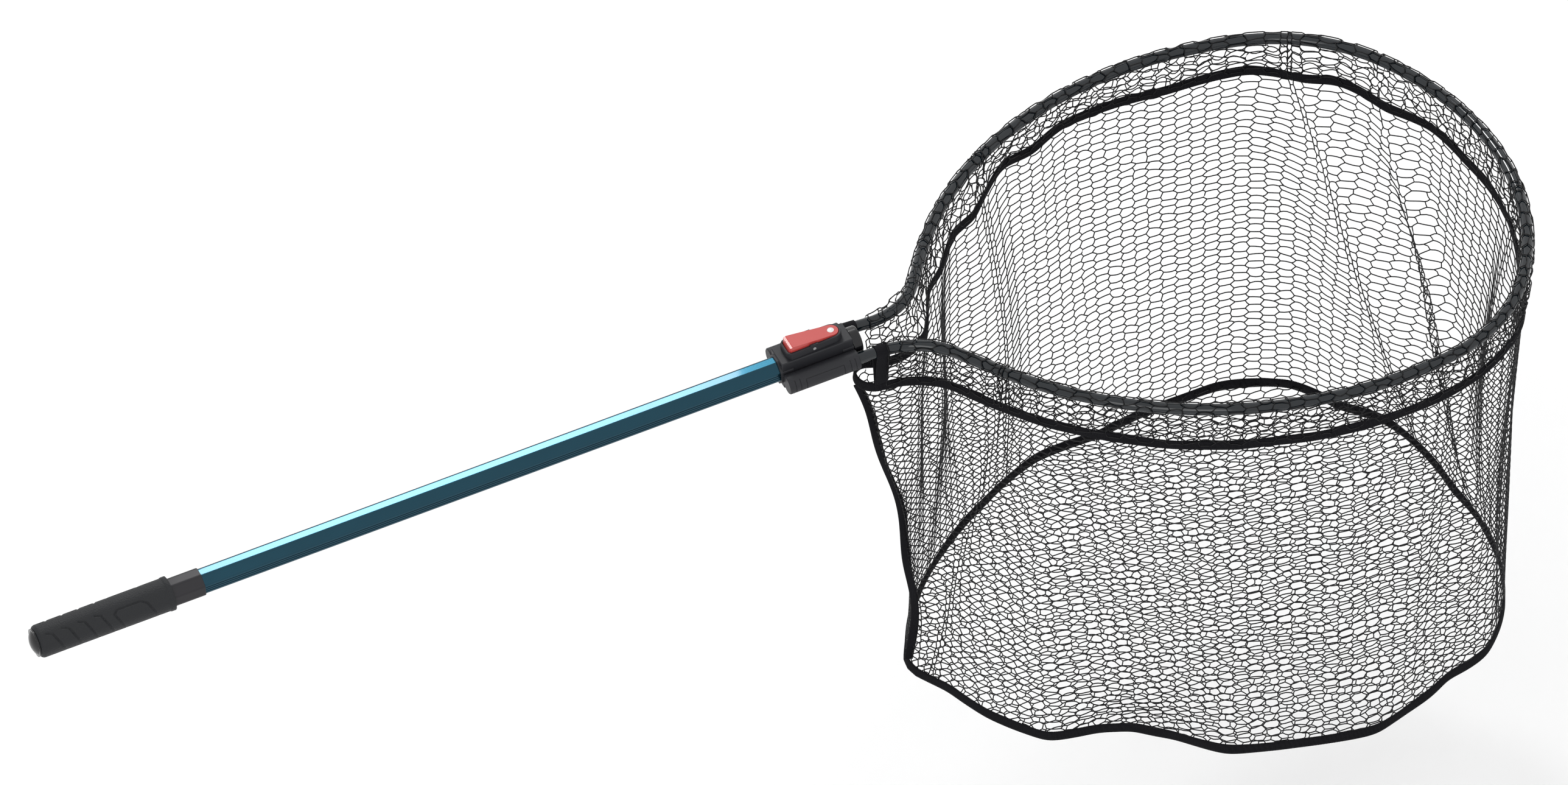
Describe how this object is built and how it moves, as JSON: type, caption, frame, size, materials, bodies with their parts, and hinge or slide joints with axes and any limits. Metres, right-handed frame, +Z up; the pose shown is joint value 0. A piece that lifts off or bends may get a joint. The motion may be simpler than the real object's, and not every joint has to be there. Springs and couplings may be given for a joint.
{
  "type": "landing net",
  "caption": "Landing net with a deep rubber-coated mesh bag on an egg-shaped hoop, and a handle that slides through the latched yoke for storage.",
  "frame": {"origin": "on the handle's axis, at the middle of the hand grip's barrel", "axes": "+X along the handle towards the hoop, +Z up, square to the handle; the bag hangs below"},
  "size_m": [1.6358, 0.5604, 0.5652],
  "materials": {
    "anodised_tube": "bright teal anodised",
    "grip_rubber": "matt, fine diamond texture",
    "black_gloss": "glossy",
    "dark_sleeve": "satin",
    "yoke_plastic": "fine spark-eroded texture",
    "red_plastic": "semi-gloss",
    "bright_steel": "polished",
    "steel": "turned",
    "hoop_gloss": "glossy blue-black",
    "netting": "rubber-coated cord",
    "webbing": "ribbed polyester webbing"
  },
  "bodies": {
    "handle": {"handle_tube": "anodised_tube", "grip": "grip_rubber", "grip_end_cap": "black_gloss", "grip_collar": "dark_sleeve", "front_stop": "black_gloss"},
    "head": {"yoke_upper_shell": "yoke_plastic", "yoke_lower_shell": "yoke_plastic", "rear_guide_bush": "yoke_plastic", "front_guide_bush": "yoke_plastic", "yoke_screws": "steel", "latch_bezel": "yoke_plastic", "lever_pivot_pin": "steel", "latch_spring": "steel", "hoop_tube": "hoop_gloss", "hoop_end_plugs": "black_gloss", "net_rim": "netting", "net_side": "netting", "net_bottom": "netting", "upper_tape": "webbing", "bottom_tape": "webbing", "seam_tape": "webbing", "near_strap": "webbing", "far_strap": "webbing"},
    "latch_lever": {"latch_lever": "red_plastic", "lever_button": "bright_steel"},
    "lock_pin": {"lock_pin": "steel"}
  },
  "joints": [
    {"name": "handle_slide", "type": "slide", "parent": "handle", "child": "head", "axis": [-1, 0, 0], "range_m": [0, 0.636]},
    {"name": "lever_rock", "type": "hinge", "parent": "head", "child": "latch_lever", "pos_m": [0.786, 0, 0.0201], "axis": [0, -1, 0], "range_deg": [0, 10], "stiffness_Nm_per_rad": 0.6, "springref_deg": -17.19, "deforming": ["latch_spring"]},
    {"name": "lock_pin_lift", "type": "slide", "parent": "head", "child": "lock_pin", "axis": [0, 0, 1], "range_m": [0, 0.0041]}
  ],
  "couplings": [
    {"joint": "lock_pin_lift", "follows": "lever_rock", "m_per_rad": 0.023}
  ]
}
